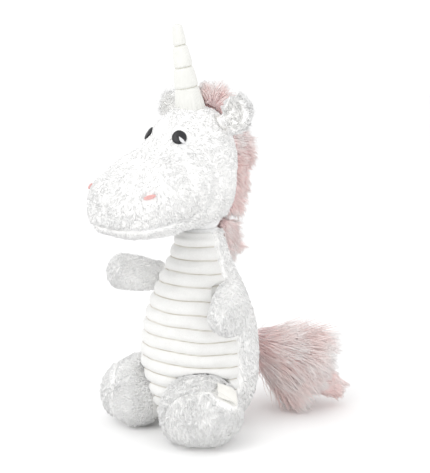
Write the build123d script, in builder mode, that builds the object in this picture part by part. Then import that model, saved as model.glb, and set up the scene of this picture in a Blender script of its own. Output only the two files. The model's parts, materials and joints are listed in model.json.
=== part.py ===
"""Seated plush unicorn, millimetres, +Z up.

The toy sits on its seat and its two feet and looks along -Y, so its left side is +X.
The origin is on the ground, in the middle of the seat.
Every cloth cover is a separate panel round a separate filling, and each limb that is sewn on
at one end swings about the middle of its rounded root.
"""

import os
from dataclasses import dataclass
from math import copysign, cos, radians, sin, sqrt

from build123d import *

# Cloth and clearances
skin = 2.5  # plush cloth with its short pile
satin = 1.0  # thin cloth of the horn
patch = 1.0  # embroidered eye and nostril patches
joint_gap = 0.5  # free room round every limb that swings

# Body: radius and height of each level of the pear-shaped outline
seat_radius = 26
haunch_radius, haunch_height = 43, 22
belly_radius, belly_height = 48.5, 56
chest_radius, chest_height = 44.5, 92
shoulder_radius, shoulder_height = 34.5, 120
throat_radius, throat_height = 25, 141
neck_radius, neck_height = 21.5, 152
collar_radius, collar_height = 16.3, 164
seat_seam_height = 7  # the seat panel ends here
belly_seam_y = -1  # the ribbed front panel ends here
pellet_bag_radius, pellet_bag_height, pellet_bag_rise = 15, 14, 6
pellet_bag_back = 10  # how far behind the body's axis it lies

# Head, carried on a round neck ball at the nod pivot
nod_height = 176
neck_ball_radius = 20
neck_flare_radius = 27  # the head's underside opens out to this round the neck
neck_flare_top, neck_flare_bottom = 8, 16  # the flare's ends, below the nod pivot
head_roundness = 2.5  # exponent of the head's rounded sections
chin_seam_rise = -1.5  # chin seam at the muzzle's front, measured from the nod pivot
chin_seam_front = 97  # reach of that point
chin_seam_slope = 7  # degrees that the seam climbs towards the back
chin_back = 26  # the chin panel ends at this reach
gusset_half_width = 11
gusset_floor = 34  # the forehead gusset lies above this level, from the nod pivot

# Horn, leaning forward from the crown
horn_reach, horn_rise = 10.5, 84  # middle of its base, from the nod pivot
horn_lean = 11.5
horn_length = 65
horn_base_radius, horn_tip_radius = 11.3, 3.4
horn_sunk = 14  # how far the cone is carried on below its base before the head trims it
horn_ring_levels = (16, 32, 49)
horn_thread_radius = 0.6

# Embroidered patches: sideways reach, forward reach and rise from the nod pivot
eye_place = (18.3, 37.9, 64.3)
eye_radius = 5.6
nostril_place = (34.3, 80.4, 24.9)
nostril_length, nostril_width = 10, 4

# Ears
ear_place = (22, -3, 73)  # sideways, forward and up from the nod pivot
ear_tilt = 24  # how far the ear points up from level
ear_turn = 6  # how far the ear's root points back from straight sideways
ear_root_radius = 6
ear_length, ear_width, ear_thickness = 30, 30, 12
ear_stand = 4.8  # the flat of the ear starts this far out from its root
ear_hem = 3.5
ear_lining_cloth = 1.2

# Mane: a standing crest of long pile down the crown, the nape and the neck
mane_half_width = 9
mane_gap = 14  # degrees left open between the head's mane and the neck's
mane_edge_angle = -4  # degrees, lower edge of the head's mane seen from the nod pivot
neck_mane_radius = 37
neck_mane_end = 136

# Arms and legs: reach of the root from the body's axis and its bearing from straight ahead
arm_reach, arm_bearing, arm_height = 45, 80, 118
arm_point_bearing = 40  # bearing that the arm points along
arm_balls = ((0, 12.5), (13, 14.5), (26, 16))  # distance along the arm, radius
left_arm_rise, right_arm_rise = -28, 8
leg_reach, leg_bearing = 49, 48
leg_balls = ((0, 24), (7, 26.5))
leg_breadth = 1.25  # a foot is this much wider than high
sole_start = 18  # the sole panel is what lies beyond this distance along the leg
# Round hollows in the body that the roots sit in; they leave room for the swings
arm_pocket_radius = arm_balls[0][1] + 3
leg_pocket_radius = leg_balls[0][1] * leg_breadth + joint_gap

# Tail
tail_root = (0, 56, 64)
tail_balls = ((0, 9), (13, 15), (42, 26), (81, 14))
tail_core_balls = ((0, 5), (52, 8))
tail_bearing, tail_rise = 143, -33
tail_pocket_radius = tail_balls[0][1] + 6

# Label, lying on the upper outer side of the left foot
label_width, label_height, label_thickness = 20, 17, 1.0
label_place = (23, 18)  # outward along the hinge and up, from the foot's middle

LEFT, RIGHT = 1, -1


@dataclass
class Limb:
    """A stuffed limb: balls in a row with smooth flanks, swinging about the middle of the first.

    The hinge lies square to the limb: level, so that the limb swings up, or upright (wags=True),
    so that it swings sideways.
    """

    pivot: tuple
    bearing: float
    rise: float
    balls: tuple
    breadth: float = 1.0  # the limb is this much wider along its hinge
    wags: bool = False

    @property
    def heading(self):
        level = Vector(sin(radians(self.bearing)), -cos(radians(self.bearing)), 0)
        return level * cos(radians(self.rise)) + Vector(0, 0, sin(radians(self.rise)))

    @property
    def hinge(self):
        across = self.heading.cross(Vector(0, 0, 1)).normalized()
        return across.cross(self.heading) if self.wags else across

    @property
    def frame(self):
        """Frame of the limb: x along the hinge, z along the limb."""
        return Plane(self.pivot, x_dir=self.hinge, z_dir=self.heading)

    def solid(self, inset=0.0):
        """The limb, drawn in all round by inset."""
        span = 4 * (self.balls[-1][0] + self.balls[-1][1])
        with BuildPart() as limb:
            with BuildSketch(Plane.XZ):
                for (start, start_radius), (end, end_radius) in zip(self.balls, self.balls[1:]):
                    near = Pos(0, start) * Circle(start_radius - inset, mode=Mode.PRIVATE)
                    far = Pos(0, end) * Circle(end_radius - inset, mode=Mode.PRIVATE)
                    make_hull([*near.edges(), *far.edges()])
                Rectangle(span, span, align=(Align.MIN, Align.CENTER), mode=Mode.INTERSECT)
            revolve(axis=Axis.Z)
            if self.breadth != 1:
                scale(by=(self.breadth, 1, 1))
        return self.frame.location * limb.part


def around(reach, bearing, height):
    """The point at this reach from the body's axis; the bearing turns from -Y towards +X."""
    return (reach * sin(radians(bearing)), -reach * cos(radians(bearing)), height)


def arm(side, rise):
    root = around(arm_reach, side * arm_bearing, arm_height)
    return Limb(root, side * arm_point_bearing, rise, arm_balls)


def leg(side):
    root = around(leg_reach, side * leg_bearing, leg_balls[-1][1])
    return Limb(root, side * leg_bearing, 0, leg_balls, breadth=leg_breadth)


left_arm, right_arm = arm(LEFT, left_arm_rise), arm(RIGHT, right_arm_rise)
left_leg, right_leg = leg(LEFT), leg(RIGHT)
tail = Limb(tail_root, tail_bearing, tail_rise, tail_balls, wags=True)
pockets = (
    (left_arm, arm_pocket_radius),
    (right_arm, arm_pocket_radius),
    (left_leg, leg_pocket_radius),
    (right_leg, leg_pocket_radius),
    (tail, tail_pocket_radius),
)


def torso_solid(inset):
    """The pear-shaped body with the neck ball on top, drawn in by inset."""
    levels = (
        (seat_radius, inset),
        (haunch_radius, haunch_height),
        (belly_radius, belly_height),
        (chest_radius, chest_height),
        (shoulder_radius, shoulder_height),
        (throat_radius, throat_height),
        (neck_radius, neck_height),
        (collar_radius, collar_height),
    )
    with BuildPart() as pear:
        with BuildSketch(Plane.XZ):
            with BuildLine():
                side = Spline([(radius - inset, height) for radius, height in levels])
                Polyline(side @ 1, (0, collar_height), (0, inset), side @ 0)
            make_face()
        revolve(axis=Axis.Z)
        with Locations((0, 0, nod_height)):
            Sphere(neck_ball_radius - inset)
        for limb, radius in pockets:
            with Locations(limb.pivot):
                Sphere(radius + inset, mode=Mode.SUBTRACT)
    return pear.part


def head_solid(inset):
    """The head from nose to nape, lofted through rounded sections and drawn in by inset."""
    # forward reach, half width, crown and jaw heights from the nod pivot, narrowing of the crown
    stations = (
        (98 - inset, 12, 20, 3, 0),
        (94 - inset, 24, 28, -4.5, 0),
        (85, 35, 37, -10, 0.05),
        (72, 42, 45, -12.5, 0.1),
        (58, 44, 53, -13, 0.2),
        (46, 43, 61, -13, 0.45),
        (37, 41, 77, -12.5, 0.64),
        (27, 39, 84, -12, 0.56),
        (14, 36, 86.5, -11, 0.28),
        (0, 34, 86, -10, 0.1),
        (-12, 29, 81, -7, 0.05),
        (-22 + inset / 2, 20, 66, 0, 0),
        (-29 + inset, 9, 46, 14, 0),
    )
    power = 2 / head_roundness
    with BuildPart() as head:
        for reach, half_width, crown, jaw, narrowing in stations:
            middle, half_height = (crown + jaw) / 2, (crown - jaw) / 2 - inset
            ring = []
            for step in range(12):
                across, up = cos(radians(30 * step)), sin(radians(30 * step))
                width = (half_width - inset) * (1 - narrowing * max(up, 0))
                ring.append(
                    (
                        width * copysign(abs(across) ** power, across),
                        nod_height + middle + half_height * copysign(abs(up) ** power, up),
                    )
                )
            with BuildSketch(Plane.XZ.offset(reach)):
                with BuildLine():
                    Spline(ring, periodic=True)
                make_face()
        loft()
    return head.part


def head_point(sideways, forward, up):
    return (sideways, -forward, nod_height + up)


def ear_frame(side):
    """Frame of an ear: z points out along the ear, x is its hinge, y its back."""
    outward = Vector(
        side * cos(radians(ear_tilt)) * cos(radians(ear_turn)),
        cos(radians(ear_tilt)) * sin(radians(ear_turn)),
        sin(radians(ear_tilt)),
    )
    sideways, forward, up = ear_place
    back = Vector(side * 0.15, 1, 0)
    across = back.cross(outward).normalized()
    return Plane(head_point(side * sideways, forward, up), x_dir=across, z_dir=outward)


# Trimming shapes that several panels share
torso_outer, torso_inner = torso_solid(0), torso_solid(skin)
torso_shell = torso_outer - torso_inner

neck_socket_radius = neck_ball_radius + joint_gap


def neck_socket(margin):
    """Room for the neck ball, opening out below it so that the head can nod."""
    with BuildPart() as socket:
        with Locations((0, 0, nod_height)):
            Sphere(neck_socket_radius + margin)
        with Locations((0, 0, nod_height - neck_flare_bottom)):
            Cone(
                neck_flare_radius + margin,
                sqrt(neck_socket_radius**2 - neck_flare_top**2) + margin,
                neck_flare_bottom - neck_flare_top,
                align=(Align.CENTER, Align.CENTER, Align.MIN),
            )
    return socket.part


with BuildPart() as head_outer:
    add(head_solid(0))
    add(neck_socket(0), mode=Mode.SUBTRACT)
    for side in (LEFT, RIGHT):
        with Locations(ear_frame(side)):
            Sphere(ear_root_radius + joint_gap, mode=Mode.SUBTRACT)

with BuildPart() as head_inner:
    add(head_solid(skin))
    add(neck_socket(skin), mode=Mode.SUBTRACT)
    for side in (LEFT, RIGHT):
        with Locations(ear_frame(side)):
            Sphere(ear_root_radius + joint_gap + skin, mode=Mode.SUBTRACT)

head_shell = head_outer.part - head_inner.part
ample = 400  # larger than the toy, for trimming blocks

# Body panels
with BuildPart() as seat_panel:
    add(torso_shell)
    split(bisect_by=Plane.XY.offset(seat_seam_height), keep=Keep.BOTTOM)

with BuildPart() as belly_panel:
    add(torso_shell)
    split(bisect_by=Plane.XY.offset(seat_seam_height), keep=Keep.TOP)
    split(bisect_by=Plane.XZ.offset(-belly_seam_y), keep=Keep.TOP)

with BuildPart() as back_panels:
    add(torso_shell)
    split(bisect_by=Plane.XY.offset(seat_seam_height), keep=Keep.TOP)
    split(bisect_by=Plane.XZ.offset(-belly_seam_y), keep=Keep.BOTTOM)

with BuildPart() as left_back_panel:
    add(back_panels.part)
    split(bisect_by=Plane.YZ, keep=Keep.TOP)

with BuildPart() as right_back_panel:
    add(back_panels.part)
    split(bisect_by=Plane.YZ, keep=Keep.BOTTOM)

with BuildPart() as pellet_bag:
    with Locations((0, pellet_bag_back, pellet_bag_rise)):
        Cylinder(
            pellet_bag_radius,
            pellet_bag_height,
            align=(Align.CENTER, Align.CENTER, Align.MIN),
        )
    fillet(pellet_bag.edges(), radius=pellet_bag_height / 3)

with BuildPart() as body_filling:
    add(torso_inner)
    add(pellet_bag.part, mode=Mode.SUBTRACT)

# Head panels
chin_seam = Plane(
    (0, -chin_seam_front, nod_height + chin_seam_rise),
    x_dir=(1, 0, 0),
    z_dir=(0, -sin(radians(chin_seam_slope)), cos(radians(chin_seam_slope))),
)
with BuildPart() as chin_panel:
    add(head_shell)
    split(bisect_by=chin_seam, keep=Keep.BOTTOM)
    split(bisect_by=Plane.XZ.offset(chin_back), keep=Keep.TOP)

with BuildPart() as forehead_gusset:
    add(head_shell)
    with Locations((0, 0, nod_height + gusset_floor)):
        Box(
            2 * gusset_half_width,
            ample,
            ample,
            align=(Align.CENTER, Align.CENTER, Align.MIN),
            mode=Mode.INTERSECT,
        )

with BuildPart() as face_panels:
    add(head_shell)
    add(chin_panel.part, mode=Mode.SUBTRACT)
    add(forehead_gusset.part, mode=Mode.SUBTRACT)

with BuildPart() as left_face_panel:
    add(face_panels.part)
    split(bisect_by=Plane.YZ, keep=Keep.TOP)

with BuildPart() as right_face_panel:
    add(face_panels.part)
    split(bisect_by=Plane.YZ, keep=Keep.BOTTOM)

with BuildPart() as head_filling:
    add(head_inner.part)

# Eyes and nostrils: flat patches that lie on the face
face_cover = head_solid(-patch) - head_solid(0)


def face_patch(side, place, outline):
    """The piece of the face cover that a stamp with this outline cuts out."""
    sideways, forward, up = place
    centre = Vector(head_point(side * sideways, forward, up))
    inside = Vector(head_point(0, forward * 0.55, up * 0.8))
    outward = (centre - inside).normalized()
    stamp_plane = Plane(centre - outward * 15, x_dir=(0, 0, 1), z_dir=outward)
    with BuildPart() as stamped:
        with BuildSketch(stamp_plane):
            add(outline)
        extrude(amount=30)
        add(face_cover, mode=Mode.INTERSECT)
    return stamped.part


with BuildSketch() as eye_outline:
    Circle(eye_radius)
with BuildSketch() as nostril_outline:
    with Locations((0, 0)):
        Ellipse(nostril_width / 2, nostril_length / 2)

left_eye = face_patch(LEFT, eye_place, eye_outline.sketch)
right_eye = face_patch(RIGHT, eye_place, eye_outline.sketch)
left_nostril = face_patch(LEFT, nostril_place, nostril_outline.sketch)
right_nostril = face_patch(RIGHT, nostril_place, nostril_outline.sketch)

# Horn
horn_frame = Plane(
    head_point(0, horn_reach, horn_rise),
    x_dir=(1, 0, 0),
    z_dir=(0, -sin(radians(horn_lean)), cos(radians(horn_lean))),
)
horn_taper = (horn_base_radius - horn_tip_radius) / horn_length


def horn_radius(level):
    return horn_base_radius - horn_taper * level


with BuildPart() as horn_outer:
    with Locations(horn_frame.offset(-horn_sunk)):
        Cone(
            horn_radius(-horn_sunk),
            horn_tip_radius,
            horn_length + horn_sunk,
            align=(Align.CENTER, Align.CENTER, Align.MIN),
        )
    add(head_solid(0), mode=Mode.SUBTRACT)

with BuildPart() as horn_filling:
    with Locations(horn_frame.offset(-horn_sunk)):
        Cone(
            horn_radius(-horn_sunk) - satin,
            horn_tip_radius - satin,
            horn_length + horn_sunk - satin,
            align=(Align.CENTER, Align.CENTER, Align.MIN),
        )
    add(head_solid(0), mode=Mode.SUBTRACT)

horn_stitches = []
for level in horn_ring_levels:
    with BuildPart() as horn_stitch:
        with Locations(horn_frame.offset(level)):
            Torus(horn_radius(level), horn_thread_radius)
    horn_stitches.append(horn_stitch.part)
lower_horn_stitching, middle_horn_stitching, upper_horn_stitching = horn_stitches

with BuildPart() as horn_cover:
    add(horn_outer.part)
    add(horn_filling.part, mode=Mode.SUBTRACT)
    add(horn_stitches, mode=Mode.SUBTRACT)

# Mane
with BuildPart() as head_mane:
    with BuildSketch(Plane.YZ):
        with BuildLine():
            crest = Spline(
                [
                    (-2, nod_height + 84),
                    (8, nod_height + 97),
                    (24, nod_height + 92),
                    (42, nod_height + 68),
                    (50, nod_height + 38),
                    (47, nod_height + 14),
                    (40, nod_height + 40 * sin(radians(mane_edge_angle))),
                ]
            )
            Polyline(
                crest @ 1,
                (neck_ball_radius, nod_height + neck_ball_radius * sin(radians(mane_edge_angle))),
                (0, nod_height + 40),
                crest @ 0,
            )
        make_face()
    extrude(amount=mane_half_width, both=True)
    add(head_solid(0), mode=Mode.SUBTRACT)
    add(horn_outer.part, mode=Mode.SUBTRACT)
    with Locations((0, 0, nod_height)):
        Sphere(neck_socket_radius, mode=Mode.SUBTRACT)

neck_mane_top = radians(mane_edge_angle - mane_gap)
with BuildPart() as neck_mane:
    with BuildSketch(Plane.YZ):
        with BuildLine():
            Polyline(
                (0, neck_mane_end),
                (0, nod_height),
                (neck_mane_radius * cos(neck_mane_top), nod_height + neck_mane_radius * sin(neck_mane_top)),
                (neck_mane_radius + 2, neck_mane_end + 8),
                (neck_mane_radius - 6, neck_mane_end),
                close=True,
            )
        make_face()
    extrude(amount=mane_half_width, both=True)
    add(torso_outer, mode=Mode.SUBTRACT)
    with Locations((0, 0, nod_height)):
        Sphere(neck_socket_radius, mode=Mode.SUBTRACT)


# Ears
def ellipsoid(half_x, half_y, half_z):
    """A plain ellipsoid about the origin."""
    return scale(Sphere(1), by=(half_x, half_y, half_z))


ear_middle = ear_stand + ear_length / 2 - 4
ear_body = Pos(0, 0, ear_middle) * ellipsoid(ear_width / 2, ear_thickness / 2, ear_length / 2)
ear_bowl = Pos(0, -ear_thickness / 2, ear_middle) * ellipsoid(
    ear_width / 2 - ear_hem, ear_thickness / 2 + 1, ear_length / 2 - ear_hem
)
ear_hollow = Pos(0, -ear_thickness / 2, ear_middle) * ellipsoid(
    ear_width / 2 - ear_hem - ear_lining_cloth,
    ear_thickness / 2 + 1 - ear_lining_cloth,
    ear_length / 2 - ear_hem - ear_lining_cloth,
)


def ear_back(side):
    with BuildPart() as back:
        add(ear_body)
        split(bisect_by=Plane.XY.offset(ear_stand), keep=Keep.TOP)
        Sphere(ear_root_radius)
        add(ear_bowl, mode=Mode.SUBTRACT)
    return ear_frame(side).location * back.part


def ear_lining(side):
    with BuildPart() as lining:
        add(ear_bowl)
        add(ear_hollow, mode=Mode.SUBTRACT)
        add(ear_body, mode=Mode.INTERSECT)
        split(bisect_by=Plane.XY.offset(ear_stand), keep=Keep.TOP)
    return ear_frame(side).location * lining.part


# Arms
def stuffed(limb, inset):
    """The cover and the filling of a stuffed limb."""
    filling = limb.solid(inset)
    return limb.solid() - filling, filling


left_arm_cover, left_arm_filling = stuffed(left_arm, skin)
right_arm_cover, right_arm_filling = stuffed(right_arm, skin)


# Legs: a cover that the round sole closes
def leg_pieces(limb):
    cover, filling = stuffed(limb, skin)
    sole_plane = Plane(
        Vector(limb.pivot) + limb.heading * sole_start, x_dir=limb.hinge, z_dir=limb.heading
    )
    with BuildPart() as sole:
        add(cover)
        split(bisect_by=sole_plane, keep=Keep.TOP)
    with BuildPart() as tube:
        add(cover)
        split(bisect_by=sole_plane, keep=Keep.BOTTOM)
    return tube.part, sole.part, filling


left_leg_cover, left_leg_sole, left_leg_filling = leg_pieces(left_leg)
right_leg_cover, right_leg_sole, right_leg_filling = leg_pieces(right_leg)

# Tail: a slim cloth core inside its long pile
tail_core = Limb(tail_root, tail_bearing, tail_rise, tail_core_balls).solid()
tail_pile = tail.solid() - tail_core

# Label, a folded ribbon that follows the foot's surface
label_outward, label_up = label_place
label_plane = Plane(
    left_leg.pivot, x_dir=left_leg.hinge, z_dir=left_leg.heading
).offset(left_leg.balls[-1][0])
foot_label = left_leg.solid(-label_thickness) - left_leg.solid()
with BuildPart() as left_foot_label:
    with BuildSketch(label_plane):
        with Locations((-label_outward, -label_up)):
            Rectangle(label_width, label_height)
    extrude(amount=2 * leg_balls[-1][1])
    add(foot_label, mode=Mode.INTERSECT)

pieces = {
    "seat_panel": seat_panel.part,
    "belly_panel": belly_panel.part,
    "left_back_panel": left_back_panel.part,
    "right_back_panel": right_back_panel.part,
    "body_filling": body_filling.part,
    "pellet_bag": pellet_bag.part,
    "chin_panel": chin_panel.part,
    "forehead_gusset": forehead_gusset.part,
    "left_face_panel": left_face_panel.part,
    "right_face_panel": right_face_panel.part,
    "head_filling": head_filling.part,
    "left_eye": left_eye,
    "right_eye": right_eye,
    "left_nostril": left_nostril,
    "right_nostril": right_nostril,
    "horn_cover": horn_cover.part,
    "horn_filling": horn_filling.part,
    "lower_horn_stitching": lower_horn_stitching,
    "middle_horn_stitching": middle_horn_stitching,
    "upper_horn_stitching": upper_horn_stitching,
    "head_mane": head_mane.part,
    "neck_mane": neck_mane.part,
    "left_ear_back": ear_back(LEFT),
    "right_ear_back": ear_back(RIGHT),
    "left_ear_lining": ear_lining(LEFT),
    "right_ear_lining": ear_lining(RIGHT),
    "left_arm_cover": left_arm_cover,
    "right_arm_cover": right_arm_cover,
    "left_arm_filling": left_arm_filling,
    "right_arm_filling": right_arm_filling,
    "left_leg_cover": left_leg_cover,
    "right_leg_cover": right_leg_cover,
    "left_leg_sole": left_leg_sole,
    "right_leg_sole": right_leg_sole,
    "left_leg_filling": left_leg_filling,
    "right_leg_filling": right_leg_filling,
    "tail_core": tail_core,
    "tail_pile": tail_pile,
    "left_foot_label": left_foot_label.part,
}

os.makedirs("parts", exist_ok=True)
for name, piece in pieces.items():
    piece.label = name
    export_step(piece, f"parts/{name}.step")
    print(name, round(piece.volume / 1000, 2), "cm3", len(piece.solids()), "solids")
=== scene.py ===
"""Looks of the seated plush unicorn, in metres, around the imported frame."""

import json
from math import cos, radians, sin

import bpy
import numpy as np
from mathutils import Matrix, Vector
from mathutils.bvhtree import BVHTree
from mathutils.kdtree import KDTree


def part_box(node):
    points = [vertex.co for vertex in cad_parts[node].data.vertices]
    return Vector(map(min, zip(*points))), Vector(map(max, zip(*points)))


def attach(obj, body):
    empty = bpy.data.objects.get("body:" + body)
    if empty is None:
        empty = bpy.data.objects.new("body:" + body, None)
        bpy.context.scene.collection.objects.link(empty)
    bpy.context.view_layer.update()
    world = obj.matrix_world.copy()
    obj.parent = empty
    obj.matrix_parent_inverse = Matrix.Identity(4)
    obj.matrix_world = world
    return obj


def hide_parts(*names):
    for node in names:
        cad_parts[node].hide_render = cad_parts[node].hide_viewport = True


MM = 0.001
LEFT, RIGHT = 1, -1
SIDES = {"left": LEFT, "right": RIGHT}

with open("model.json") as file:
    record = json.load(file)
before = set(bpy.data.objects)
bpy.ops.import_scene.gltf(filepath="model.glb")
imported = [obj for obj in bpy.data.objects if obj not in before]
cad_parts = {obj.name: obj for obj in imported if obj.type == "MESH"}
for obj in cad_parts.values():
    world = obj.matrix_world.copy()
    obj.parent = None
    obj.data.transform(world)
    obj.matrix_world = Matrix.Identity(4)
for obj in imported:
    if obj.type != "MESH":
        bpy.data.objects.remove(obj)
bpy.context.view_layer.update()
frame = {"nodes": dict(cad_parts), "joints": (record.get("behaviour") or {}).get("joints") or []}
nodes = frame["nodes"]
joints = {joint["name"]: joint for joint in frame["joints"]}
pivot = {name: np.array(joint["pos_m"]) for name, joint in joints.items()}
nod = pivot["head_nod"]

# Camera
camera_azimuth, camera_elevation = 47, 11
camera_distance = 1.0
aim_sideways, aim_height = 0.012, 0.156
focal_pixels, frame_width = 1250, 430

# Sizes of the skin, ribs, seams, horn and label, and limits for faces and light bounces
skin_inset = 1.3 * MM
rib_pitch = 10.0 * MM
rib_first, rib_last = 12 * MM, 160 * MM
rib_proud, rib_sunk = 0.6 * MM, 1.9 * MM
chin_seam_rise, chin_seam_slope = -1.5 * MM, 0.12
muzzle_reach = 97 * MM
sole_seam = 18 * MM
horn_height, horn_sunk = 65 * MM, 9 * MM
horn_base_radius, horn_tip_radius = 11.3 * MM, 3.4 * MM
ring_levels = np.array([16, 32, 49]) * MM
ring_sway = 0.5 * MM
chin_back = 28 * MM
gusset_half_width, gusset_floor = 11 * MM, 34 * MM
label_width, label_height, label_thickness = 18 * MM, 14.5 * MM, 0.45 * MM
leg_bearing = 48
floor_gap = 0.6 * MM
most_faces = 185000
pile_bounces = 10  # light goes from strand to strand many times in white pile


# ---------------------------------------------------------------- numbers and meshes
def unit(v):
    return v / np.maximum(np.linalg.norm(v, axis=-1, keepdims=True), 1e-12)


def smoothstep(low, high, value):
    t = np.clip((value - low) / (high - low), 0, 1)
    return t * t * (3 - 2 * t)


def ripple(points, size, seed):
    """Smooth noise from about -1 to 1 with features of this size."""
    rng = np.random.default_rng(seed)
    waves = unit(rng.normal(size=(7, 3))) * rng.uniform(0.6, 1.5, (7, 1)) * 2 * np.pi / size
    phases = rng.uniform(0, 2 * np.pi, 7)
    return np.sin(points @ waves.T + phases).sum(1) / 3.2


def make_object(name, verts, faces, material, smooth=True):
    mesh = bpy.data.meshes.new(name)
    faces = np.asarray(faces)
    count, corners = faces.shape
    mesh.vertices.add(len(verts))
    mesh.vertices.foreach_set("co", np.asarray(verts, np.float32).ravel())
    mesh.loops.add(count * corners)
    mesh.loops.foreach_set("vertex_index", faces.astype(np.int32).ravel())
    mesh.polygons.add(count)
    mesh.polygons.foreach_set("loop_start", np.arange(0, count * corners, corners, dtype=np.int32))
    mesh.update(calc_edges=True)
    mesh.polygons.foreach_set("use_smooth", np.full(count, smooth))
    mesh.materials.append(material)
    made = bpy.data.objects.new(name, mesh)
    bpy.context.scene.collection.objects.link(made)
    return made


def read_mesh(mesh):
    """Vertices and triangles of a mesh."""
    mesh.calc_loop_triangles()
    verts = np.empty(len(mesh.vertices) * 3, np.float32)
    mesh.vertices.foreach_get("co", verts)
    tris = np.empty(len(mesh.loop_triangles) * 3, np.int32)
    mesh.loop_triangles.foreach_get("vertices", tris)
    return verts.reshape(-1, 3).astype(float), tris.reshape(-1, 3)


def normals_of(verts, tris):
    face = np.cross(verts[tris[:, 1]] - verts[tris[:, 0]], verts[tris[:, 2]] - verts[tris[:, 0]])
    total = np.zeros_like(verts)
    for corner in range(3):
        np.add.at(total, tris[:, corner], face)
    return unit(total)


def soft_skin(names, voxel, smoothing, inset):
    """One smooth closed surface round these CAD nodes, drawn in by inset."""
    verts, tris, start = [], [], 0
    for name in names:
        v, t = read_mesh(nodes[name].data)
        verts.append(v)
        tris.append(t + start)
        start += len(v)
    rough = make_object("rough", np.vstack(verts), np.vstack(tris), None)
    remesh = rough.modifiers.new("remesh", "REMESH")
    remesh.mode = "VOXEL"
    remesh.voxel_size = voxel
    smooth = rough.modifiers.new("smooth", "SMOOTH")
    smooth.factor, smooth.iterations = 0.5, smoothing
    evaluated = rough.evaluated_get(bpy.context.evaluated_depsgraph_get())
    v, t = read_mesh(evaluated.to_mesh())
    bpy.data.objects.remove(rough)
    v, t = outer_shell(v, t)
    n = normals_of(v, t)
    return v - n * inset, t


def outer_shell(verts, tris):
    """The largest connected part of a mesh."""
    label = np.arange(len(verts))
    while True:
        low = label[tris].min(1)
        new = label.copy()
        for corner in range(3):
            np.minimum.at(new, tris[:, corner], low)
        new = new[new]
        if (new == label).all():
            break
        label = new
    values, counts = np.unique(label[tris[:, 0]], return_counts=True)
    keep = label[tris[:, 0]] == values[counts.argmax()]
    used = np.unique(tris[keep])
    remap = np.full(len(verts), -1)
    remap[used] = np.arange(len(used))
    return verts[used], remap[tris[keep]]


def scatter(verts, tris, density, seed):
    """Random points, with normals, on a surface; density is in points per square millimetre."""
    rng = np.random.default_rng(seed)
    a, b, c = (verts[tris[:, k]] for k in range(3))
    area = np.linalg.norm(np.cross(b - a, c - a), axis=1) / 2
    count = int(area.sum() / MM**2 * density)
    pick = rng.choice(len(tris), count, p=area / area.sum())
    u, v = rng.random(count), rng.random(count)
    flip = u + v > 1
    u[flip], v[flip] = 1 - u[flip], 1 - v[flip]
    n = normals_of(verts, tris)
    w = np.c_[1 - u - v, u, v][:, :, None]
    return (verts[tris[pick]] * w).sum(1), unit((n[tris[pick]] * w).sum(1))


def grow(
    name, body, roots, up, lay, length, width, lift, material,
    segments=2, clump=0.35, bend=0.25, swirl=0.6, swirl_size=0.02, replaces=(), seed=1,
):
    """Tapered strands of pile on these roots; lay is the way they lie, lift the angle they stand up."""
    rng = np.random.default_rng(seed)
    count = len(roots)
    lay = unit(lay - up * (lay * up).sum(1, keepdims=True))
    turn = (swirl * ripple(roots, swirl_size, seed + 5) + rng.normal(0, 0.28, count))[:, None]
    lay = lay * np.cos(turn) + np.cross(up, lay) * np.sin(turn)
    tall = (np.broadcast_to(length, count) * rng.uniform(0.7, 1.2, count))[:, None]
    angle = (np.broadcast_to(lift, count) + rng.normal(0, 0.16, count))[:, None]
    heading = lay * np.cos(angle) + up * np.sin(angle)
    t = np.linspace(0, 1, segments + 1)[None, :, None]
    line = roots[:, None] - up[:, None] * 0.5 * MM + heading[:, None] * tall[:, None] * t
    line = line + (lay - up)[:, None] * bend * tall[:, None] * t**2
    leaders = rng.choice(count, max(count // 14, 1), replace=False)
    tree = KDTree(len(leaders))
    for index, leader in enumerate(leaders):
        tree.insert(roots[leader], index)
    tree.balance()
    nearest = leaders[[tree.find(root)[1] for root in roots]]
    tips = line[:, -1]
    line = line + (tips[nearest] - tips)[:, None] * clump * t**2
    line[..., 2] = np.maximum(line[..., 2], floor_gap)
    along = unit(np.diff(line, axis=1))
    side = unit(np.cross(along, up[:, None]))
    over = np.cross(side, along)
    start = rng.uniform(0, 2 * np.pi, count)[:, None, None, None]
    corner = start + np.array([0, 2, 4])[None, None, :, None] * np.pi / 3
    thick = np.broadcast_to(width, count) * rng.uniform(0.75, 1.25, count)
    girth = (1 - t[:, :-1]) ** 0.6 * thick[:, None, None]
    ring = side[:, :, None] * np.cos(corner) + over[:, :, None] * np.sin(corner)
    rings = line[:, :-1, None] + ring * girth[:, :, None] / 2
    per = 3 * segments + 1
    verts = np.concatenate([rings.reshape(count, -1, 3), line[:, -1:]], axis=1)
    one = [(0, 2, 1)]
    for level in range(segments - 1):
        for k in range(3):
            a, b = 3 * level + k, 3 * level + (k + 1) % 3
            one += [(a, b, b + 3), (a, b + 3, a + 3)]
    for k in range(3):
        one.append((3 * (segments - 1) + k, 3 * (segments - 1) + (k + 1) % 3, 3 * segments))
    one = np.array(one)
    shade = rng.random(count)
    rise = np.r_[np.repeat(t[0, :-1, 0], 3), 1.0]
    made = []
    share = most_faces // len(one)
    parts = -(-count // share)
    order = np.argsort(roots[:, 2], kind="stable")
    for part in range(parts):
        chosen = order[part * count // parts:(part + 1) * count // parts]
        faces = (one[None] + (np.arange(len(chosen)) * per)[:, None, None]).reshape(-1, 3)
        label = name if parts == 1 else f"{name}_{part + 1}"
        tuft = make_object(label, verts[chosen].reshape(-1, 3), faces, material)
        layer = tuft.data.uv_layers.new(name="OFBake")
        u = np.repeat(shade[chosen], per)
        v = np.tile(rise, len(chosen))
        layer.data.foreach_set("uv", np.c_[u, v][faces.ravel()].astype(np.float32).ravel())
        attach(tuft, body)
        if replaces:
            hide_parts(*replaces)
        made.append(tuft)
    return made


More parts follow.
